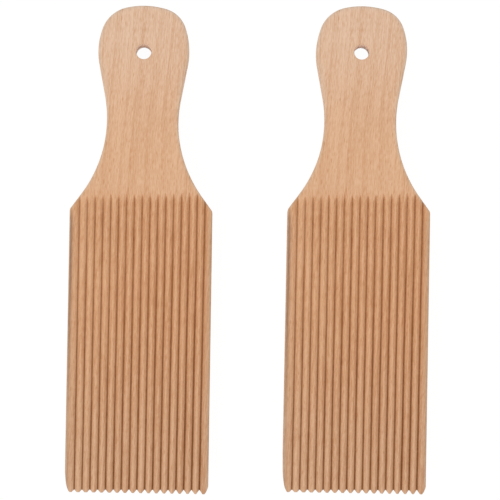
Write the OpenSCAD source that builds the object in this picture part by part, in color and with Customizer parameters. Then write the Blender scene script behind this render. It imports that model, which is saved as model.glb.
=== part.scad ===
// Pair of gnocchi boards
// Two alike paddles, each cut from one piece of beech: a ribbed blade to roll the dough on,
// a waisted handle, and a hole in the head to hang it by. They lie on their backs, ribs up,
// with the heads towards +Y. The origin is under the middle of the pair. Millimetres.

/* [Blank] */
// Length of a board, from the ribbed end to the top of the head
board_len = 205; // [180:1:260]
// Thickness of a board
board_t = 10; // [6:0.5:16]
// Radius that eases the long edges, front and back
edge_ease = 0.8; // [0.3:0.1:1.5]

/* [Blade] */
// Width of the ribbed blade
blade_w = 60; // [50:1:80]
// Angle between a sloping shoulder and the length of the board
shoulder_angle = 36; // [28:1:45]
// How far each end corner is drawn in from the side
corner_in = 1.9; // [0.5:0.1:4]
// Length of side over which an end corner is drawn in
corner_run = 4.4; // [2:0.1:10]
// Undercut of the ribbed end, away from square
end_undercut = 53; // [0:1:60]

/* [Grooves] */
// Distance from one groove to the next
groove_pitch = 3.25; // [2.5:0.05:6]
// Depth of a groove
groove_depth = 1.25; // [0.8:0.05:3]
// Angle between the two flanks of a groove
groove_angle = 90; // [50:1:120]
// Radius that rounds a flank over into the crest of the rib beside it
crest_r = 0.25; // [0.1:0.05:1.2]
// Length of a groove, from the ribbed end to the last of its run-out
groove_len = 125; // [90:1:150]
// Radius of the cutter wheel, which leaves its curve where a groove runs out
cutter_r = 20; // [10:1:40]
// Least distance from the outermost groove to the side of the blade
outer_rib = 3; // [2:0.1:8]

/* [Handle] */
// Width of the handle at the waist
waist_w = 30; // [22:0.5:34]
// Radius of the hollow on each side of the waist
waist_r = 53.5; // [40:0.5:60]
// Slope of the straight flanks between waist and head, away from the length
flank_angle = 11; // [6:0.5:18]
// Width of the head where it is widest
head_w = 38.2; // [35:0.2:50]
// Distance from the top of the head down to where it is widest
head_drop = 19.2; // [16:0.2:23]
// Radius of the crown across the top of the head
crown_r = 31.6; // [26:0.2:50]
// Radius of the corners between the crown and the sides of the head
head_corner_r = 13.6; // [8:0.2:16]
// Radius of the bulging sides of the head
head_side_r = 29.5; // [24:0.5:45]

/* [Hanging hole] */
// Diameter of the hole
hole_d = 6.4; // [4:0.1:12]
// Distance from the top of the head to the middle of the hole
hole_drop = 19.5; // [12:0.5:26]
// Chamfer round both rims of the hole
hole_chamfer = 0.4; // [0.2:0.1:1]

/* [Pair] */
// Clear space between the two blades
pair_gap = 31.4; // [2:0.2:80]
// How far the right board lies ahead of the left one
pair_stagger = 1.5; // [0:0.1:20]

/* [Hidden] */
$fn = 96;

// Angle from one outline point to the next on an arc
arc_step = 3;
// Steps in the rounding of a long edge
ease_steps = 3;
// Steps in the rounding of a rib, on each side of its crest
crest_steps = 4;
// Stock past the ribbed end that the undercut trims away
end_stock = 3;
// How far a cutter reaches past the face that it opens
overcut = 0.4;

// Blade and grooves
half_blade = blade_w / 2;
groove_side = floor((half_blade - outer_rib) / groove_pitch);
groove_runout = sqrt(groove_depth * (2 * cutter_r - groove_depth));
groove_stop = groove_len - groove_runout;
corner_slope = corner_in / corner_run;

// Head: the corner arc touches the crown and the side arc from inside
head_y = board_len - head_drop;
crown_c = [0, board_len - crown_r];
side_c = [head_w / 2 - head_side_r, head_y];
corner_c = circles_meet(crown_c, crown_r - head_corner_r, side_c, head_side_r - head_corner_r);
crown_end = direction(corner_c - crown_c);
side_end = direction(corner_c - side_c);

// Waist: a straight flank leads from the side of the head into the hollow, tangent to both.
// Where the head is hardly wider than the waist, the two arcs meet at a lesser slope.
neck_step = (head_w - waist_w) / 2;
neck_radii = head_side_r + waist_r;
flank_slope = min(flank_angle, acos(1 - neck_step / neck_radii));
flank_len = (neck_step - neck_radii * (1 - cos(flank_slope))) / sin(flank_slope);
waist_y = head_y - neck_radii * sin(flank_slope) - flank_len * cos(flank_slope);
waist_c = [waist_w / 2 + waist_r, waist_y];

// Shoulder: it leaves the hollow at its own angle, or sooner if the blade is narrow
shoulder_slope = min(shoulder_angle, acos(max(-1, (waist_c.x - half_blade) / waist_r)));
hollow_end = waist_c - waist_r * [cos(shoulder_slope), sin(shoulder_slope)];
shoulder_y = hollow_end.y - (half_blade - hollow_end.x) / tan(shoulder_slope);

// Places of the two boards, with the origin under the middle of them both
board_x = (blade_w + pair_gap) / 2;
pair_len = board_len + pair_stagger;

// Direction of a 2D vector, in degrees
function direction(v) = atan2(v.y, v.x);

// A vector of length 1 along v
function unit(v) = v / norm(v);

// Where two circles cross, on the side away from the board's axis
function circles_meet(a, ra, b, rb) =
    let (
        apart = norm(b - a),
        u = (b - a) / apart,
        along = (ra * ra - rb * rb + apart * apart) / (2 * apart),
        aside = sqrt(ra * ra - along * along)
    )
    a + along * u + aside * [u.y, -u.x];

// Points along an arc, from one angle to the other and both included
function arc(centre, r, from, to) =
    let (steps = max(1, ceil(abs(to - from) / arc_step)))
    [
        for (i = [0 : steps])
            let (a = from + (to - from) * i / steps)
            centre + r * [cos(a), sin(a)]
    ];

// The same points without those that repeat the one before
function distinct(points) =
    [
        for (i = [0 : len(points) - 1])
            if (i == 0 || norm(points[i] - points[i - 1]) > 0.01) points[i]
    ];

// Right half of the outline, from the ribbed end to the top of the head
function right_half() =
    distinct(concat(
        [
            [half_blade - corner_in - corner_slope * end_stock, -end_stock],
            [half_blade, corner_run],
            [half_blade, shoulder_y]
        ],
        arc(waist_c, waist_r, 180 + shoulder_slope, 180 - flank_slope),
        arc(side_c, head_side_r, -flank_slope, side_end),
        arc(corner_c, head_corner_r, side_end, crown_end),
        arc(crown_c, crown_r, crown_end, 90)
    ));

// Whole outline, anticlockwise: the right half, then its mirror image back down
function outline() =
    let (half = right_half())
    concat(half, [for (i = [len(half) - 2 : -1 : 0]) [-half[i].x, half[i].y]]);

// A closed outline with every edge moved in by d
function inset(points, d) =
    let (n = len(points))
    [
        for (i = [0 : n - 1])
            let (
                before = unit(points[i] - points[(i + n - 1) % n]),
                after = unit(points[(i + 1) % n] - points[i]),
                before_in = [-before.y, before.x],
                after_in = [-after.y, after.x]
            )
            points[i] + d * (before_in + after_in) / (1 + before_in * after_in)
    ];

// Section of what is sanded off a front edge, as distances in from the side and down from the face.
// Its first and last flats run on past the face and the side, so that they cut right through.
function ease_section() =
    let (
        flats = [
            for (i = [0 : ease_steps])
                let (a = 90 * i / ease_steps)
                edge_ease * [1 - sin(a), 1 - cos(a)]
        ],
        first = flats[0] + overcut * unit(flats[0] - flats[1]),
        last = flats[ease_steps] + overcut * unit(flats[ease_steps] - flats[ease_steps - 1])
    )
    concat(
        [first],
        [for (i = [1 : ease_steps - 1]) flats[i]],
        [last, [last.x, first.y - overcut], [first.x, first.y - overcut]]
    );

// What is sanded off the whole front edge, as a ring of that section swept round the outline
module edge_trim() {
    section = ease_section();
    shape = outline();
    n = len(shape);
    m = len(section);
    points = [for (s = section) for (p = inset(shape, s.x)) [p.x, p.y, board_t - s.y]];
    faces = [
        for (k = [0 : m - 1])
            for (i = [0 : n - 1])
                let (j = (i + 1) % n, next = (k + 1) % m)
                [k * n + i, next * n + i, next * n + j, k * n + j]
    ];
    polyhedron(points, faces, convexity = 4);
}

// The sawn blank with its edges eased, front and back
module blank() {
    difference() {
        linear_extrude(board_t)
            polygon(outline());
        edge_trim();
        translate([0, 0, board_t])
            mirror([0, 0, 1])
                edge_trim();
    }
}

// What the saw takes off the ribbed end, so that the ribs reach out furthest
module end_trim() {
    reach = board_t / cos(end_undercut) + end_stock;
    translate([-blade_w, 0, board_t])
        rotate([end_undercut, 0, 0])
            translate([0, -2 * board_t - end_stock, -reach])
                cube([2 * blade_w, 2 * board_t + end_stock, 2 * reach]);
}

// One flank of a groove, from its bottom up, as distances out from its middle and down from the face.
// It rises straight, rounds over into the crest of the rib, and runs on past the face.
function flank() =
    let (
        slope = 90 - groove_angle / 2,
        half_mouth = groove_depth / tan(slope) + crest_r * tan(slope / 2),
        crest = [
            for (i = [crest_steps : -1 : 0])
                let (a = slope * i / crest_steps)
                [half_mouth - crest_r * sin(a), crest_r * (1 - cos(a))]
        ],
        last = crest[crest_steps] + overcut * unit(crest[crest_steps] - crest[crest_steps - 1])
    )
    concat(
        [[0, groove_depth]],
        [for (i = [0 : crest_steps - 1]) crest[i]],
        [last, [last.x, last.y - overcut]]
    );

// Half section of the wheel that cuts a groove, with its rim at radius r
module wheel(r) {
    right = flank();
    left = [for (i = [len(right) - 1 : -1 : 1]) [-right[i].x, right[i].y]];
    polygon([for (p = concat(right, left)) [r - groove_depth + p.y, p.x]]);
}

// One groove along its middle line: a straight run in from the end, then the wheel's own curve
module groove() {
    translate([0, groove_stop, cutter_r - groove_depth])
        rotate([0, 90, 0]) {
            rotate([90, 0, 0])
                linear_extrude(groove_stop + end_stock + overcut)
                    wheel(cutter_r);
            rotate_extrude(angle = 90)
                wheel(cutter_r);
        }
}

module grooves() {
    for (i = [-groove_side : groove_side])
        translate([i * groove_pitch, 0, board_t])
            groove();
}

module hanging_hole() {
    rim_r = hole_d / 2 + hole_chamfer + overcut;
    translate([0, board_len - hole_drop, 0]) {
        translate([0, 0, -overcut])
            cylinder(d = hole_d, h = board_t + 2 * overcut);
        translate([0, 0, board_t - hole_chamfer])
            cylinder(r1 = hole_d / 2, r2 = rim_r, h = hole_chamfer + overcut);
        translate([0, 0, -overcut])
            cylinder(r1 = rim_r, r2 = hole_d / 2, h = hole_chamfer + overcut);
    }
}

// One board, with the tips of its ribs on y = 0
module board() {
    difference() {
        blank();
        end_trim();
        grooves();
        hanging_hole();
    }
}

module left_board() {
    color("burlywood")
        translate([-board_x, -pair_len / 2, 0])
            board();
}

module right_board() {
    color("burlywood")
        translate([board_x, pair_stagger - pair_len / 2, 0])
            board();
}

left_board();
right_board();
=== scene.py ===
# Two gnocchi boards side by side: beech paddles with a ribbed blade, a waisted handle and a hanging hole
import bpy
import math
import numpy as np
from mathutils import Matrix, Vector, noise
from mathutils.geometry import delaunay_2d_cdt


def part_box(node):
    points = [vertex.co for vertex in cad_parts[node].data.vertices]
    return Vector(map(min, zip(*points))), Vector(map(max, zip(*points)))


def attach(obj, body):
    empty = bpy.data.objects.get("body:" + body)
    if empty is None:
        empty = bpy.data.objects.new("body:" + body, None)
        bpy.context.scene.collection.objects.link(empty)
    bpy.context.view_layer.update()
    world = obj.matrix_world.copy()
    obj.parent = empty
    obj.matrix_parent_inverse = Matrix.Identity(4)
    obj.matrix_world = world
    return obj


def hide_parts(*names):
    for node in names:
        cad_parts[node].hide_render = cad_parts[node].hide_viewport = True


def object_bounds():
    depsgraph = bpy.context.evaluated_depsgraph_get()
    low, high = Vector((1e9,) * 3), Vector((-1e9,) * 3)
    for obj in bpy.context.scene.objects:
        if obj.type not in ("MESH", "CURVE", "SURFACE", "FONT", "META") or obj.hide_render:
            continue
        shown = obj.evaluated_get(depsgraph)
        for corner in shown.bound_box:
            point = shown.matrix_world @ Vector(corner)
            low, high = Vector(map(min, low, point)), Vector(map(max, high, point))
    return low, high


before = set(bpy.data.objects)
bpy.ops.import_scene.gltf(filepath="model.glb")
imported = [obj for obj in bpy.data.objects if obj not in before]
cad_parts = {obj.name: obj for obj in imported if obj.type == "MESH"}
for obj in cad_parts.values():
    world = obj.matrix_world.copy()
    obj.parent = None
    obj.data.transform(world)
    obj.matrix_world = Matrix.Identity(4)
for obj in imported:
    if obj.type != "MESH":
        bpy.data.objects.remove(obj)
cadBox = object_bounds()
mm = 0.001    # shapes are worked out in millimetres, Blender gets metres
print("the CAD boards are loaded")


def smoothStep(low, high, value):
    t = np.clip((value - low) / (high - low), 0, 1)
    return t * t * (3 - 2 * t)


def addObject(name, data):
    thing = bpy.data.objects.new(name, data)
    bpy.context.scene.collection.objects.link(thing)
    return thing


# Outline of one board. x runs across from its middle, y up from the rib tips, z up from its back.
outlineSizes = {
    "bladeHalf": 29.92,          # half the width of the blade
    "shoulderSlope": 36.0,       # degrees between a shoulder and the length of the board
    "shoulderSoft": 0.8,         # how far sanding has softened the shoulder's corner, each way
    "waistHalf": 15.0,
    "waistRadius": 53.5,
    "headHalf": 19.1,
    "headSideRadius": 29.5,
    # The two halves aren't quite alike. Head drop: from the top of the head down to its widest place.
    # Flank slope: degrees, the straight flank between waist and head.
    # End corner: how far it is drawn in across, how far up the side, and how round it is.
    "left": {"crownRadius": 31.4, "headDrop": 19.6, "headCorner": 13.9, "flankSlope": 11.1,
             "endCorner": (2.0, 8.0, 0.6)},
    "right": {"crownRadius": 34.4, "headDrop": 18.9, "headCorner": 12.0, "flankSlope": 10.5,
              "endCorner": (1.5, 3.2, 0.3)},
    "sideEase": 0.8,             # rounding of the long edges
    "endEase": 0.22,             # rounding of the ribbed end
    "easeGrows": (3, 6),         # heights between which the one becomes the other
    "easeSteps": 5,
    "cornerSteps": 10,           # steps in an end corner, and in a softened shoulder corner
    "shoulderSteps": 4,
    "arcSpacing": 0.9,
    "runOutSpacing": 0.3,        # closer points where grooves run out over the shoulders
    "endClear": 0.1,             # gaps that are left beside the corners' own points
    "sideClear": 0.2,
    "leastSpacing": 0.02,        # points nearer than this become one
}


def onArc(centre, radius, start, stop, spacing):
    steps = max(2, math.ceil(radius * math.radians(abs(stop - start)) / spacing))
    turn = np.radians(np.linspace(start, stop, steps + 1))
    return [(centre[0] + radius * math.cos(a), centre[1] + radius * math.sin(a)) for a in turn]


def onLine(a, b, spacing):
    steps = max(1, math.ceil(math.dist(a, b) / spacing))
    return [(a[0] + (b[0] - a[0]) * i / steps, a[1] + (b[1] - a[1]) * i / steps) for i in range(steps + 1)]


def onCurve(a, pull, b, steps):
    points = []
    for t in np.linspace(0, 1, steps + 1):
        weights = ((1 - t) ** 2, 2 * t * (1 - t), t * t)
        points.append(tuple(weights[0] * a[k] + weights[1] * pull[k] + weights[2] * b[k] for k in (0, 1)))
    return points


def arcsMeet(a, ra, b, rb):                  # where two circles cross, on the outer side
    apart = math.dist(a, b)
    ux, uy = (b[0] - a[0]) / apart, (b[1] - a[1]) / apart
    along = (ra * ra - rb * rb + apart * apart) / (2 * apart)
    aside = math.sqrt(ra * ra - along * along)
    return a[0] + along * ux + aside * uy, a[1] + along * uy - aside * ux


def degreesTo(a, b):
    return math.degrees(math.atan2(b[1] - a[1], b[0] - a[0]))


def withoutRepeats(points):
    kept = [points[0]]
    for p in points[1:]:
        if math.dist(p, kept[-1]) > outlineSizes["leastSpacing"]:
            kept.append(p)
    return kept


def halfOutline(size, length, side, endColumns, rows):       # right half, from the end up to the top
    half = size["bladeHalf"]
    drawnIn, runUp, roundness = side["endCorner"]
    slope = math.radians(size["shoulderSlope"])
    headY = length - side["headDrop"]
    sideCentre = (size["headHalf"] - size["headSideRadius"], headY)
    crownRadius = side["crownRadius"]
    crownCentre = (0, length - crownRadius)
    cornerRadius = side["headCorner"]
    cornerCentre = arcsMeet(crownCentre, crownRadius - cornerRadius,
                            sideCentre, size["headSideRadius"] - cornerRadius)
    sideEnd = degreesTo(sideCentre, cornerCentre)
    crownEnd = degreesTo(crownCentre, cornerCentre)

    flank = math.radians(side["flankSlope"])
    radii = size["headSideRadius"] + size["waistRadius"]
    neck = size["headHalf"] - size["waistHalf"]
    flankLength = (neck - radii * (1 - math.cos(flank))) / math.sin(flank)
    waistY = headY - radii * math.sin(flank) - flankLength * math.cos(flank)
    waistCentre = (size["waistHalf"] + size["waistRadius"], waistY)
    hollowEnd = (waistCentre[0] - size["waistRadius"] * math.cos(slope),
                 waistY - size["waistRadius"] * math.sin(slope))
    shoulder = (half, hollowEnd[1] - (half - hollowEnd[0]) / math.tan(slope))
    soft = size["shoulderSoft"]
    below = (half, shoulder[1] - soft)
    above = (half - soft * math.sin(slope), shoulder[1] + soft * math.cos(slope))

    endInner, sideStart = (half - drawnIn, 0), (half, runUp)
    middle = ((endInner[0] + sideStart[0]) / 2, (endInner[1] + sideStart[1]) / 2)
    pull = tuple(middle[k] + roundness * ((half, 0)[k] - middle[k]) for k in (0, 1))

    clear, spacing = size["sideClear"], size["arcSpacing"]
    points = [(x, 0) for x in endColumns if x < endInner[0] - size["endClear"]]
    points += onCurve(endInner, pull, sideStart, size["cornerSteps"])
    points += [(half, y) for y in rows if runUp + clear < y < below[1] - clear]
    points += onCurve(below, shoulder, above, size["shoulderSteps"])
    points += onLine(above, hollowEnd, size["runOutSpacing"])
    points += onArc(waistCentre, size["waistRadius"], 180 + size["shoulderSlope"], 180 - side["flankSlope"],
                    spacing)
    points += onArc(sideCentre, size["headSideRadius"], -side["flankSlope"], sideEnd, spacing)
    points += onArc(cornerCentre, cornerRadius, sideEnd, crownEnd, spacing)
    points += onArc(crownCentre, crownRadius, crownEnd, 90, spacing)
    return withoutRepeats(points)


def wholeOutline(size, length, endColumns, rows):            # anticlockwise, as an array of x, y
    right = halfOutline(size, length, size["right"], [x for x in endColumns if x >= 0], rows)
    left = halfOutline(size, length, size["left"], [-x for x in reversed(endColumns) if x < 0], rows)
    back = [(-x, y) for x, y in reversed(left)]
    return np.array(withoutRepeats(right + back[1:]))


def inwardSteps(outline):                    # for each point, the move that takes both its edges in by 1
    before = outline - np.roll(outline, 1, axis=0)
    before /= np.linalg.norm(before, axis=1)[:, None]
    after = np.roll(before, -1, axis=0)
    a = np.stack([-before[:, 1], before[:, 0]], 1)
    b = np.stack([-after[:, 1], after[:, 0]], 1)
    return (a + b) / (1 + (a * b).sum(1))[:, None]


# Grooves: V cuts by wheels that ran along the blade, each ending in a curve where its wheel stopped.
# Sizes in threes hold at the left, in the middle and at the right: the wheels sat askew.
grooveSizes = {
    "pitch": 3.26,
    "perSide": 8,                # grooves on each side of the middle one
    "depths": (0.95, 1.27, 1.5),
    "halfWidths": (1.15, 1.27, 1.32),  # of the grooves' mouths
    "stops": (119.4, 119.8, 120.7),    # where the wheels' axis came to rest
    "depthJitter": 0.04,
    "stopJitter": 0.5,
    "depthDraws": (1.7, 0.3),    # steps from groove to groove in the noise, and place in it
    "stopDraws": (2.3, 8.1),
    "seed": 3.0,                 # another number gives other jitter and drift
    "offset": 0.15,              # how far the middle groove starts beside the board's middle
    "skew": 0.003,               # how much further it gets for each millimetre of length
    "fan": 0.00008,              # share by which the grooves spread for each millimetre of length
    "wheelRadius": 14.0,
    "wheelShare": 0.98,          # share of its radius over which a wheel's curve is followed
    "crestRound": 0.10,
    "bottomRound": 0.06,
    "darkBottomWidth": 0.40,          # of the dark line along a groove's bottom, partly painted shade and partly burnished wood
    "darkBottomDepth": 1.0,           # depth from which the line is at its darkest
    "darkBottomLoss": 0.40,           # share of its darkness that is missing at this height, near the shoulders
    "darkBottomLossAt": 120,
    "flankLightShares": (0.85, 0.55),  # shares of a half width between which the painted light on the flanks comes in
    "paleDepth": 0.4,            # depth from which it is full
    "flankLightGrooves": (0.7, 1.3),   # a groove of the first depth has none of it, one of the second has all
    "milledPast": (9, 1),        # how far past the stops the look of cut wood fades out
    "wander": 0.04,              # sideways drift of the ribs
    "wanderAcross": 14,          # millimetres over which it changes, across and along
    "wanderAlong": 34,
    "wanderSides": (29, 25),     # it dies out towards the sides
    "wanderTop": (131, 120),     # and towards the handle
}


def acrossRibs(size, x, y):                  # place counted across the grooves
    return (x - size["offset"] - size["skew"] * y) / (1 + size["fan"] * y)


def besideRibs(size, u, y):                  # and back to x
    return size["offset"] + size["skew"] * y + u * (1 + size["fan"] * y)


def grooveJitter(size, step, place):         # a number about 0 for each groove, from left to right
    n = size["perSide"]
    return np.array([2 * noise.noise((g * step, size["seed"], place)) for g in range(-n, n + 1)])


def grooveCut(size, x, y):                   # how deep the cut is, how dark its bottom with painted shade and burnish, and how much painted light its flanks get
    n = size["perSide"]
    u = acrossRibs(size, x, y)
    index = np.clip(np.round(u / size["pitch"]), -n, n)
    at = (index + n).astype(int)
    full, halfWidth, stop = (np.interp(index, (-n, 0, n), size[key])
                             for key in ("depths", "halfWidths", "stops"))
    full = full + size["depthJitter"] * grooveJitter(size, *size["depthDraws"])[at]
    stop = stop + size["stopJitter"] * grooveJitter(size, *size["stopDraws"])[at]

    wheel = size["wheelRadius"]
    lifted = np.clip(y - stop, 0, wheel * size["wheelShare"])
    away = np.abs(u - index * size["pitch"])
    soft = size["bottomRound"]
    offset = np.sqrt(away * away + soft * soft) - soft
    v = full * (1 - offset / halfWidth) - (wheel - np.sqrt(wheel * wheel - lifted * lifted))
    k = size["crestRound"]
    depth = np.where(v > k, v, np.where(v < -k, 0, (v + k) ** 2 / (4 * k)))

    # dark line along the groove's bottom: partly painted shade, partly burnished wood
    bottomShadeAndBurnish = np.exp(-(away / size["darkBottomWidth"]) ** 2) * smoothStep(0, size["darkBottomDepth"], depth)
    bottomShadeAndBurnish = bottomShadeAndBurnish * (1 - size["darkBottomLoss"] * np.clip(y / size["darkBottomLossAt"], 0, 1))
    outer, inner = size["flankLightShares"]
    # painted light on the lower flanks of the deeper grooves, where their shade would fall
    pale = smoothStep(outer * halfWidth, inner * halfWidth, away) * smoothStep(0, size["paleDepth"], depth)
    return depth, bottomShadeAndBurnish, pale * smoothStep(*size["flankLightGrooves"], full)


def wanderRibs(size, xyz, onFace):           # lets the ribs drift sideways
    drift = np.array([noise.noise((x / size["wanderAcross"], y / size["wanderAlong"], size["seed"]))
                      for x, y in xyz[:, :2]])
    hold = smoothStep(*size["wanderSides"], np.abs(xyz[:, 0])) * smoothStep(*size["wanderTop"], xyz[:, 1])
    xyz[:, 0] += drift * hold * 2 * size["wander"] * onFace


# The ribbed end is sawn at a slant, so the ribs reach out furthest at the face
endSizes = {
    "undercut": 53.0,            # degrees away from square
    "fade": 26.0,                # length of blade that is drawn in with it
}


def slantEnd(size, xyz, thickness):
    share = np.clip(1 - xyz[:, 1] / size["fade"], 0, 1)
    xyz[:, 1] += share * (thickness - xyz[:, 2]) * math.tan(math.radians(size["undercut"]))


# A dark line just inside the blade's sides and a dull strip outside the last grooves, and painted
# grey reflection at the blade's right side and along every rounded front edge
sideMarkSizes = {
    "lineInside": 0.80,          # from the side of the blade to the middle of the dark line
    "lineWidth": 0.55,
    "lineLeft": 0.9,             # strength of the line at the left side, and at the right
    "lineRight": 0.1,
    "strip": 0.13,               # strength of the strip
    "stripEdge": (3.5, 2.0),     # distances from the side between which it comes in
    "greyWidth": 2.0,            # of the painted grey reflection at the right side
    "greyReflectionFade": 1.6,
    "fade": (20, 90),            # heights between which the line and the painted grey reflection grow to full strength
    "fadedShare": 0.3,           # what there is of them at the ribbed end
    "bladeTop": (122, 112),      # heights between which all these marks end
    "reachDown": 2.5,            # how far down from the face it shows
    "faceEdgeReflection": 0.6,             # how much painted grey reflection the face has at its outline
    "edgeSteps": 2,              # steps of the rounding over which the painted grey reflection comes in
}


def bladeSideMarks(size, half, x, y):             # how dark each place is, and how much painted grey reflection it gets
    inside = half - np.abs(x)
    onBlade = smoothStep(*size["bladeTop"], y)
    faded = size["fadedShare"] + (1 - size["fadedShare"]) * smoothStep(*size["fade"], y)
    line = faded * np.exp(-((inside - size["lineInside"]) / size["lineWidth"]) ** 2)
    sideDark = line * np.where(x < 0, size["lineLeft"], size["lineRight"])
    sideDark += size["strip"] * smoothStep(*size["stripEdge"], inside)
    # painted grey reflection at the blade's right side
    grey = faded * smoothStep(size["greyWidth"], size["greyWidth"] - size["greyReflectionFade"], inside) * (x > 0)
    return sideDark * onBlade, grey * onBlade


# Hanging hole, drilled a little askew, so that it comes out at the back nearer the blade
holeSizes = {"radius": 3.2, "drop": 19.5, "askew": 0.3, "rounding": 0.35, "steps": 4, "points": 72}


# Rows and columns of points on the face and the back
meshSizes = {
    "perPitch": 20,              # columns to a groove's pitch
    "besideGrooves": 0.4,        # spacing of the columns outside the last grooves
    "outermost": 1,              # how far inside the blade's side they end
    "endRows": (0.7, 1.4, 2.2, 3.2, 4.4, 6, 8, 10),
    "bladeRows": (13, 113, 3.5),       # first, limit and spacing
    "runOutRows": (115, 129, 0.5),     # closer where the grooves run out
    "handleRows": (131, 3),            # first and spacing
    "handleColumns": 12,               # on each side of the middle, half a pitch apart
    "handleBand": 1.2,                 # a ring of points this far inside the handle's rounded edge
    "backRows": (4, 8),
    "backColumns": (-28, 29, 7),
    "bladeMargin": 0.12,         # how near the points may come to the outline: on the blade,
    "handleMargin": 2.2,         # on the handle
    "backMargin": 1.2,           # and on the back
    "holeMargin": 0.4,
    "sharpAngle": 38,            # degrees from which an edge is shaded as sharp
}


def faceColumns():                           # counted across the grooves, from left to right
    perPitch, gap = meshSizes["perPitch"], meshSizes["besideGrooves"]
    reach = int((grooveSizes["perSide"] + 0.5) * perPitch)
    ribbed = [i * (grooveSizes["pitch"] / perPitch) for i in range(-reach, reach + 1)]
    plain = list(np.arange(ribbed[-1] + gap, outlineSizes["bladeHalf"] - meshSizes["outermost"], gap))
    return [-u for u in reversed(plain)] + ribbed + plain


def distanceToLoop(points, loop):
    best = np.full(len(points), np.inf)
    for p, q in zip(loop, np.roll(loop, -1, axis=0)):
        edge = q - p
        t = np.clip(((points - p) @ edge) / (edge @ edge), 0, 1)
        best = np.minimum(best, np.linalg.norm(points - p - t[:, None] * edge, axis=1))
    return best


def insideLoop(points, loop):
    inside = np.zeros(len(points), bool)
    for p, q in zip(loop, np.roll(loop, -1, axis=0)):
        if p[1] == q[1]:
            continue
        crosses = (points[:, 1] > min(p[1], q[1])) & (points[:, 1] <= max(p[1], q[1]))
        reach = p[0] + (points[:, 1] - p[1]) * (q[0] - p[0]) / (q[1] - p[1])
        inside ^= crosses & (points[:, 0] < reach)
    return inside


def gridInside(columns, rows, loop, hole, margin, place=lambda u, y: u):
    # gives the points that lie inside, and the lines that join them up each column
    points = np.array([(place(u, y), y) for u in columns for y in rows])
    keep = insideLoop(points, loop) & (distanceToLoop(points, loop) > margin)
    centre = hole.mean(0)
    clear = np.linalg.norm(hole[0] - centre) + meshSizes["holeMargin"]
    keep &= np.linalg.norm(points - centre, axis=1) > clear
    number = np.full(len(points), -1)
    number[keep] = np.arange(keep.sum())
    count = len(rows)
    lines = [(number[i], number[i + 1]) for i in range(len(points) - 1)
             if (i + 1) % count and number[i] >= 0 and number[i + 1] >= 0]
    return points[keep], lines


def fillSheet(loop, hole, grid, gridLines):  # triangles between an outer loop and a hole, through a grid
    places = [Vector(p) for p in np.concatenate([loop, hole, grid]).tolist()]
    n, m = len(loop), len(hole)
    edges = [(i, (i + 1) % n) for i in range(n)] + [(n + i, n + (i + 1) % m) for i in range(m)]
    edges += [(n + m + a, n + m + b) for a, b in gridLines]
    insideOnly, nearness = 1, 1e-7
    found = delaunay_2d_cdt(places, edges, [], insideOnly, nearness)
    source = [ids[0] if ids else None for ids in found[3]]
    triangles = [tuple(source[i] for i in face) for face in found[2]]
    return [t for t in triangles if not all(n <= i < n + m for i in t)]


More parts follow.
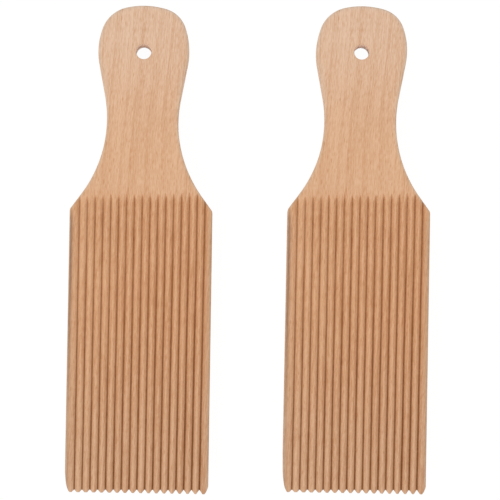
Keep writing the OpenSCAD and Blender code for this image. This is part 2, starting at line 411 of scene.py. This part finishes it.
def boardShell(length, thickness):           # points, faces, and the loops up the sides and through the hole
    bladeRows = [*meshSizes["endRows"], *np.arange(*meshSizes["bladeRows"]),
                 *np.arange(*meshSizes["runOutRows"])]
    handleFoot, handleGap = meshSizes["handleRows"]
    handleRows = list(np.arange(handleFoot, length, handleGap))
    columns = faceColumns()
    endColumns = [besideRibs(grooveSizes, u, 0) for u in columns]
    outline = wholeOutline(outlineSizes, length, endColumns, bladeRows + handleRows)
    inward = inwardSteps(outline)
    ease = np.interp(outline[:, 1], outlineSizes["easeGrows"],
                     (outlineSizes["endEase"], outlineSizes["sideEase"]))
    points, faces = [], []

    def addPoints(xy, z):
        start = len(points)
        points.extend(np.column_stack([xy, np.broadcast_to(z, len(xy))]))
        return np.arange(start, start + len(xy))

    def bridge(lower, upper):                # quads that face away from the loops' inside
        a, b, c, d = lower, np.roll(lower, -1), np.roll(upper, -1), upper
        faces.extend(zip(a.tolist(), b.tolist(), c.tolist(), d.tolist()))

    def addSheet(loop, hole, grid, gridLines, z, order):         # order is -1 for a sheet that faces down
        flat = np.array(points)[:, :2]
        ids = np.concatenate([loop, hole, addPoints(grid, z)])
        for t in fillSheet(flat[loop], flat[hole], grid, gridLines):
            faces.append(tuple(int(ids[i]) for i in t[::order]))

    # Sides: the back edge's rounding, the wall, then the front edge's rounding
    turns = np.radians(np.linspace(0, 90, outlineSizes["easeSteps"] + 1))
    rings = [(outline + inward * (ease * (1 - math.cos(a)))[:, None], ease * (1 - math.sin(a)))
             for a in turns]
    sides = [addPoints(ring, drop) for ring, drop in reversed(rings)]
    for ring, drop in rings:
        cut = grooveCut(grooveSizes, ring[:, 0], ring[:, 1])[0]
        sides.append(addPoints(ring, np.minimum(thickness - drop, thickness - cut)))
    for lower, upper in zip(sides, sides[1:]):
        bridge(lower, upper)

    # Hanging hole, its two rims rounded over
    turn = np.linspace(0, 2 * math.pi, holeSizes["points"], endpoint=False)
    around = np.column_stack([np.cos(turn), np.sin(turn)])
    centre = np.array([0, length - holeSizes["drop"]])
    rim = holeSizes["rounding"]
    turns = np.radians(np.linspace(0, 90, holeSizes["steps"] + 1))
    levels = [(rim * (1 - math.sin(a)), rim * (1 - math.cos(a))) for a in turns]
    levels += [(wider, thickness - z) for wider, z in reversed(levels)]
    rims = []
    for wider, z in levels:
        middle = centre - [0, holeSizes["askew"] * (1 - z / thickness)]
        rims.append(addPoints(middle + around * (holeSizes["radius"] + wider), z))
    for lower, upper in zip(rims, rims[1:]):
        bridge(upper, lower)

    # Face: close columns along the grooves, a coarse grid on the handle and a band inside its edge
    flat = np.array(points)[:, :2]
    edgeXy, holeXy = flat[sides[-1]], flat[rims[-1]]
    blade, bladeLines = gridInside(columns, bladeRows, edgeXy, holeXy, meshSizes["bladeMargin"],
                                   lambda u, y: besideRibs(grooveSizes, u, y))
    count = meshSizes["handleColumns"]
    coarse = [i * grooveSizes["pitch"] / 2 for i in range(-count, count + 1)]
    handle, handleLines = gridInside(coarse, handleRows, edgeXy, holeXy, meshSizes["handleMargin"])
    band = (outline + inward * (ease + meshSizes["handleBand"])[:, None])[outline[:, 1] > handleFoot]
    grid = np.concatenate([blade, handle, band])
    lines = bladeLines + [(a + len(blade), b + len(blade)) for a, b in handleLines]
    cut = grooveCut(grooveSizes, grid[:, 0], grid[:, 1])[0]
    addSheet(sides[-1], rims[-1], grid, lines, thickness - cut, 1)

    # Back: flat, with wide rows
    backFoot, backGap = meshSizes["backRows"]
    grid, lines = gridInside(np.arange(*meshSizes["backColumns"]), np.arange(backFoot, length, backGap),
                             flat[sides[0]], flat[rims[0]], meshSizes["backMargin"])
    addSheet(sides[0], rims[0], grid, lines, 0, -1)
    return np.array(points), faces, sides, rims


def boardObject(name, corner, top, lean):    # corner and top: the CAD node's box, in metres
    low, high = np.array(corner) / mm, np.array(top) / mm
    length, thickness = high[1] - low[1], high[2] - low[2]
    xyz, faces, sides, rims = boardShell(length, thickness)

    # Marks for the material: painted shade and burnish at the groove bottoms, painted light on their flanks,
    # cut wood, painted grey reflection on the edges, the dark marks by the sides, and painted light in the
    # hole
    onFace = xyz[:, 2] > thickness * 0.5
    bottomShadeAndBurnish, pale = grooveCut(grooveSizes, xyz[:, 0], xyz[:, 1])[1:]
    milledTop, milledFoot = (grooveSizes["stops"][1] + past for past in grooveSizes["milledPast"])
    milled = smoothStep(milledTop, milledFoot, xyz[:, 1])
    wanderRibs(grooveSizes, xyz, onFace)
    wallTop = outlineSizes["easeSteps"] + 1
    nearFace = xyz[:, 2] > thickness - sideMarkSizes["reachDown"]
    nearFace[np.concatenate(sides[:wallTop + 1])] = False
    sideDark, grey = bladeSideMarks(sideMarkSizes, outlineSizes["bladeHalf"], xyz[:, 0], xyz[:, 1])
    edge, litBore = np.zeros(len(xyz)), np.zeros(len(xyz))
    # painted grey reflection over the rounded front edge, the face's outline and the blade's right side
    for i, ids in enumerate(sides[wallTop:]):
        edge[ids] = min(1, i / sideMarkSizes["edgeSteps"])
    edge[sides[-1]] = sideMarkSizes["faceEdgeReflection"]
    edge = np.maximum(edge, grey * nearFace)
    # the hole's straight wall, which gets painted light in the material
    straight = rims[holeSizes["steps"]:-holeSizes["steps"]]
    litBore[np.concatenate(straight)] = 1
    marks = {"groove": bottomShadeAndBurnish * onFace, "flank": pale * onFace, "milled": milled * onFace,
             "edge": edge, "sideDark": sideDark * nearFace, "litBore": litBore}

    # The end is sawn at a slant, and the board lies a little askew in its place
    slantEnd(endSizes, xyz, thickness)
    xyz[:, 0] += np.interp(xyz[:, 1], [0, length], lean)
    xyz += np.array([(low[0] + high[0]) / 2, low[1], low[2]])

    mesh = bpy.data.meshes.new(name)
    mesh.from_pydata((xyz * mm).tolist(), [], faces)
    for mark, values in marks.items():
        mesh.attributes.new(mark, "FLOAT", "POINT").data.foreach_set("value", values)
    mesh.polygons.foreach_set("use_smooth", [True] * len(mesh.polygons))
    mesh.set_sharp_from_angle(angle=math.radians(meshSizes["sharpAngle"]))
    mesh.update()
    return addObject(name, mesh)


# Beech: pale pinkish wood with straight fibres, faint growth bands and short dark flecks, satin from sanding
beech = {
    "pale": (0.775, 0.525, 0.365),        # early wood
    "dark": (0.600, 0.335, 0.185),        # late wood and flecks
    "tone": 0.30,                         # 0 is all pale, 1 all dark
    "grainLean": 0.055,                   # sideways run of the grain for each millimetre of length
    "grainWave": 2.2,                     # millimetres
    "waveNoise": (0.03, 0.011, 2, 0.5, 3.7),       # the last five numbers of a streak, see below
    # Streaks in the tone, drawn out along the fibres: how strong they are, how often they change to the
    # millimetre across and along, then detail, roughness and place of their noise
    "streaks": {
        "bands": (0.75, 0.24, 0.006, 2, 0.5, 1.3),
        "fibres": (0.75, 1.0, 0.035, 2, 0.5, 0.0),
        "shortFibres": (1.60, 2.0, 0.12, 2, 0.6, 4.0),
        "dashes": (1.75, 2.8, 0.45, 1, 0.5, 6.0),
        "fineFibres": (0.65, 6.0, 0.22, 3, 0.6, 2.0),
        "patches": (0.35, 0.05, 0.02, 2, 0.5, 7.9),
    },
    "growthLines": 0.26,                  # strength of the dark line in each growth ring
    "lineShares": (0.04, 0.50),           # shares of a ring over which the line comes and goes
    "ringsAcross": 0.17,                  # growth rings passed for each millimetre across
    "ringsDown": 0.4,                     # and for each millimetre of thickness
    "ringsUneven": 2.2,                   # how far the bands shift them
    "faceHeight": 5.0,                    # millimetres from the middle of the board to its face
    "flecks": 0.85,                       # strength of the flecks
    "fleckPlaces": (0.85, 0.17),          # places for flecks to the millimetre, across and along
    "fleckEmpty": 0.55,                   # share of the places that stay empty
    "fleckSizes": (0.10, 0.26),           # in shares of a place
    "warmTint": (0.972, 0.868, 0.737),    # the middle of the board is warmer than its ends
    "warmHead": (97, 35),                 # heights above the middle between which the warmth comes in
    "warmFoot": (-140, -20),
    "lowTint": (0.945, 0.930, 0.910),     # and the ribbed end is darker
    "lowHeights": (0, -85),
    "milledTint": (0.948, 0.890, 0.817),  # the grooved part of the blade is tinted warmer and darker
    "milledFibres": 0.75,                 # and shows its short fibres more
    # painted light on the groove flanks
    "flankLightTint": (1.065, 1.065, 1.07),
    "bottomShadeAndBurnishTint": (0.30, 0.165, 0.015),    # bottoms of the grooves: partly painted shade, partly burnished wood
    "edgeReflectionTint": (0.94, 1.04, 1.13),       # painted grey reflection on the rounded front edges and the blade's right side
    "sideDarkTint": (0.46, 0.42, 0.42),       # the dark line and the dull strip by the blade's sides
    "litBore": (0.92, 0.69, 0.53),           # colour of the wood inside the hole, made paler: painted light against the hole's shade
    "endTint": (0.90, 0.85, 0.80),        # wood that is cut across the fibres
    "endShare": 0.7,                      # how much of its tint it has between the open pores
    "poreNoise": (5.0, 0.3, 1, 0.5, 5.0),
    "poreEdge": (0.02, 0.16),             # values of that noise between which a pore comes in
    "faceTurn": (0.2, 0.6),               # how squarely a surface has to face up to count as face
    "endTurn": (0.45, 0.85),              # and to face along the board to count as end
    "roughness": 0.56,
    "roughFibres": 0.25,                  # how much the fibres and the flecks add to it
    "roughFlecks": 0.1,
    "bumpFine": 0.6,                      # relief of the fine fibres, the fibres and the flecks
    "bumpFibres": 0.4,
    "bumpFlecks": -0.5,
    "bumpStrength": 0.35,
    "bumpHeight": 0.00012,                # metres
}


def wire(tree, kind, inputs, output=0, **settings):          # adds a node and gives back one of its outputs
    node = tree.nodes.new("ShaderNode" + kind)
    for key, value in settings.items():
        setattr(node, key, value)
    for socket, value in inputs.items():
        if isinstance(value, bpy.types.NodeSocket):
            tree.links.new(value, node.inputs[socket])
        else:
            node.inputs[socket].default_value = value
    return node.outputs[output]


def calc(tree, operation, a, b=0.0, clamp=False):
    return wire(tree, "Math", {0: a, 1: b}, operation=operation, use_clamp=clamp)


def plus(tree, base, value, share):          # base and a share of the value
    return calc(tree, "ADD", base, calc(tree, "MULTIPLY", value, share))


def ramp(tree, value, low, high, toLow=0.0, toHigh=1.0):     # smooth step from low to high
    return wire(tree, "MapRange", {"Value": value, "From Min": low, "From Max": high,
                                   "To Min": toLow, "To Max": toHigh}, interpolation_type="SMOOTHSTEP")


def stretched(tree, vector, scale):
    return wire(tree, "VectorMath", {0: vector, 1: scale}, operation="MULTIPLY")


def streaks(tree, place, across, along, detail, roughness, seed):        # noise about 0, drawn out along y
    value = wire(tree, "TexNoise", {"Vector": stretched(tree, place, (across, along, across)), "W": seed,
                                    "Scale": 1.0, "Detail": detail, "Roughness": roughness},
                 noise_dimensions="4D")
    return calc(tree, "SUBTRACT", value, 0.5)


def mixed(tree, share, a, b, blend="MIX"):   # of two colours, each a socket or red, green and blue
    a, b = ((*color, 1) if isinstance(color, tuple) else color for color in (a, b))
    return wire(tree, "Mix", {"Factor": share, "A": a, "B": b}, "Result", data_type="RGBA", blend_type=blend)


def beechMaterial(name, middle):
    material = bpy.data.materials.new(name)
    material.use_nodes = True
    tree = material.node_tree
    shader = tree.nodes["Principled BSDF"]

    # Place in the wood: millimetres from the middle of the board, sheared along the run of the grain
    place = wire(tree, "TexCoord", {}, "Object")
    place = wire(tree, "VectorMath", {0: place, 1: tuple(middle)}, operation="SUBTRACT")
    place = stretched(tree, place, (1 / mm, 1 / mm, 1 / mm))
    x, y, z = wire(tree, "SeparateXYZ", {0: place}).node.outputs
    x = calc(tree, "SUBTRACT", x, calc(tree, "MULTIPLY", y, beech["grainLean"]))
    x = plus(tree, x, streaks(tree, place, *beech["waveNoise"]), 2 * beech["grainWave"])
    wood = wire(tree, "CombineXYZ", {0: x, 1: y, 2: z})
    facing = wire(tree, "SeparateXYZ", {0: wire(tree, "TexCoord", {}, "Normal")}).node.outputs
    onFace = ramp(tree, calc(tree, "ABSOLUTE", facing["Z"]), *beech["faceTurn"])
    onEnd = ramp(tree, calc(tree, "ABSOLUTE", facing["Y"]), *beech["endTurn"])

    # Streaks, and the dark line of each growth ring
    tone, streak = beech["tone"], {}
    for kind, (strength, *noiseValues) in beech["streaks"].items():
        streak[kind] = streaks(tree, wood, *noiseValues)
        tone = plus(tree, tone, streak[kind], strength)
    rings = plus(tree, calc(tree, "MULTIPLY", x, beech["ringsAcross"]),
                 calc(tree, "SUBTRACT", z, beech["faceHeight"]), beech["ringsDown"])
    rings = calc(tree, "FRACT", plus(tree, rings, streak["bands"], beech["ringsUneven"]))
    comes, goes = beech["lineShares"]
    lines = calc(tree, "MULTIPLY", ramp(tree, rings, goes, comes), ramp(tree, rings, 0.0, comes))
    tone = plus(tree, tone, lines, beech["growthLines"])

    # Short dark flecks, where the rays of the wood end on the surface
    flecksAcross, flecksAlong = beech["fleckPlaces"]
    cells = wire(tree, "TexVoronoi", {"Vector": stretched(tree, wood, (flecksAcross, flecksAlong, 0.0)),
                                      "Scale": 1.0}, voronoi_dimensions="2D").node.outputs
    pick = wire(tree, "SeparateColor", {0: cells["Color"]})
    size = ramp(tree, pick, beech["fleckEmpty"], 1.0, *beech["fleckSizes"])
    flecks = calc(tree, "MULTIPLY", ramp(tree, cells["Distance"], size, 0.0),
                  calc(tree, "MULTIPLY", onFace, ramp(tree, pick, beech["fleckEmpty"], 1.0)))
    tone = plus(tree, tone, flecks, beech["flecks"])

    # Colour of the tone, warmer in the middle of the board, darker low down and where it was cut
    marks = {mark: wire(tree, "Attribute", {}, "Fac", attribute_name=mark)
             for mark in ("milled", "edge", "sideDark", "flank", "groove", "litBore")}
    rough = calc(tree, "ADD", streak["shortFibres"], streak["fineFibres"])
    tone = plus(tree, tone, calc(tree, "MULTIPLY", rough, beech["milledFibres"]), marks["milled"])
    color = mixed(tree, tone, beech["pale"], beech["dark"])
    warmth = calc(tree, "MULTIPLY", ramp(tree, y, *beech["warmHead"]), ramp(tree, y, *beech["warmFoot"]))
    color = mixed(tree, warmth, color, beech["warmTint"], "MULTIPLY")
    color = mixed(tree, ramp(tree, y, *beech["lowHeights"]), color, beech["lowTint"], "MULTIPLY")

    # Where the surface is cut across the fibres it drinks more and turns darker, with open pores
    pores = ramp(tree, streaks(tree, wood, *beech["poreNoise"]), *beech["poreEdge"])
    drinks = calc(tree, "MULTIPLY", onEnd, calc(tree, "ADD", beech["endShare"], pores))
    color = mixed(tree, drinks, color, beech["endTint"], "MULTIPLY")
    # Tints: cut wood, painted grey reflection on the edges, the dark marks by the sides, painted light on
    # the groove flanks, and painted shade with burnish at their bottoms
    for mark, tint in (("milled", "milledTint"), ("edge", "edgeReflectionTint"), ("sideDark", "sideDarkTint"),
                       ("flank", "flankLightTint"), ("groove", "bottomShadeAndBurnishTint")):
        color = mixed(tree, marks[mark], color, beech[tint], "MULTIPLY")
    # painted light: the hole's wall gets a paler colour against its shade
    color = mixed(tree, marks["litBore"], color, beech["litBore"])
    tree.links.new(color, shader.inputs["Base Color"])

    # Satin, a little duller along the fibres, with a faint relief
    roughness = plus(tree, beech["roughness"], streak["fibres"], beech["roughFibres"])
    tree.links.new(plus(tree, roughness, flecks, beech["roughFlecks"]), shader.inputs["Roughness"])
    height = plus(tree, calc(tree, "MULTIPLY", streak["fineFibres"], beech["bumpFine"]),
                  streak["fibres"], beech["bumpFibres"])
    height = plus(tree, height, flecks, beech["bumpFlecks"])
    bump = wire(tree, "Bump", {"Height": height, "Strength": beech["bumpStrength"],
                               "Distance": beech["bumpHeight"]})
    tree.links.new(bump, shader.inputs["Normal"])
    return material


# How far each board lies askew, in millimetres towards +X: at its ribbed end, and at the top of its head
leans = {"left_board": (0.30, -0.19), "right_board": (-0.35, 0.31)}
for name in leans:
    low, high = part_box(name)
    piece = boardObject(name + "_wood", low, high, leans[name])
    piece.data.materials.append(beechMaterial("beech_" + name, (low + high) / 2))
    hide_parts(name)
    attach(piece, name)
    print(name, "has", len(piece.data.vertices), "points and", len(piece.data.polygons), "faces")


# Camera: high above, a little towards the ribbed ends, as the photograph sees the boards
view = {
    "height": 1.4,
    "foot": (-0.01454, -0.10213),
    "tilt": 4.174,               # degrees from straight down
    "lean": 0.61,
    "roll": 0.97,
    "pixels": 3326.2,            # focal length, in pixels of a frame this wide
    "frameWidth": 500,
    "sensorWidth": 36,
    "clip": (0.05, 20),
}


def addCamera():
    lens = bpy.data.cameras.new("photo_camera")
    lens.sensor_width = view["sensorWidth"]
    lens.lens = view["pixels"] / view["frameWidth"] * lens.sensor_width
    lens.clip_start, lens.clip_end = view["clip"]
    camera = addObject("photo_camera", lens)
    tilt = Matrix.Rotation(math.radians(-view["tilt"]), 3, "X")
    lean = Matrix.Rotation(math.radians(view["lean"]), 3, "Y")
    roll = Matrix.Rotation(math.radians(-view["roll"]), 3, "Z")
    turn = (roll @ tilt @ lean).transposed()
    camera.matrix_world = Matrix.Translation((*view["foot"], view["height"])) @ turn.to_4x4()
    bpy.context.scene.camera = camera


def cameraLikeRays(tree):                    # 1 for rays that should see the plain white backdrop
    path = wire(tree, "LightPath", {}).node.outputs
    seen = calc(tree, "ADD", path["Is Camera Ray"], path["Is Glossy Ray"], clamp=True)
    return calc(tree, "ADD", seen, path["Is Transmission Ray"], clamp=True)


# Floor: white paper. The camera sees it as an even glow with the boards' faint shadow on it.
paper = {
    "half": 3.0,                 # metres
    "under": 0.1,                # millimetres below the boards
    "grey": 0.8,                 # how much light it throws back at the boards
    "shadow": 0.045,             # light that is missing from the glow inside the shadow
    "glow": 0.968,
}


def addFloor(bottom):
    half, z = paper["half"], bottom - paper["under"] * mm
    mesh = bpy.data.meshes.new("floor")
    mesh.from_pydata([(-half, -half, z), (half, -half, z), (half, half, z), (-half, half, z)],
                     [], [(0, 1, 2, 3)])
    material = bpy.data.materials.new("floor_white")
    material.use_nodes = True
    tree = material.node_tree
    tree.nodes.clear()
    plain, shadow = (wire(tree, "BsdfDiffuse", {"Color": (paper[key], paper[key], paper[key], 1)})
                     for key in ("grey", "shadow"))
    glow = wire(tree, "Emission", {"Strength": paper["glow"]})
    seen = wire(tree, "AddShader", {0: shadow, 1: glow})
    surface = wire(tree, "MixShader", {0: cameraLikeRays(tree), 1: plain, 2: seen})
    tree.links.new(surface, tree.nodes.new("ShaderNodeOutputMaterial").inputs["Surface"])
    mesh.materials.append(material)
    floor = addObject("floor", mesh)


# Soft light from all round, and a large lamp off the near left corner that shades the grooves
light = {"sky": 0.875, "keyPower": 13.0, "keySize": 1.35, "keyPlace": (-1.5, -1.05, 1.95)}


def addLight():
    world = bpy.data.worlds.new("studio")
    world.use_nodes = True
    tree = world.node_tree
    tree.nodes.clear()
    sky, white = (wire(tree, "Background", {"Color": (1, 1, 1, 1), "Strength": strength})
                  for strength in (light["sky"], 1))
    surface = wire(tree, "MixShader", {0: cameraLikeRays(tree), 1: sky, 2: white})
    tree.links.new(surface, tree.nodes.new("ShaderNodeOutputWorld").inputs["Surface"])
    bpy.context.scene.world = world

    lamp = bpy.data.lights.new("key", "AREA")
    lamp.energy = light["keyPower"]
    lamp.size = light["keySize"]
    key = addObject("key", lamp)
    place = Vector(light["keyPlace"])
    key.matrix_world = Matrix.Translation(place) @ place.to_track_quat("Z", "Y").to_matrix().to_4x4()


addCamera()
addFloor(cadBox[0].z)
addLight()
bpy.context.scene.view_settings.view_transform = "Standard"
print("camera, floor and light are set")
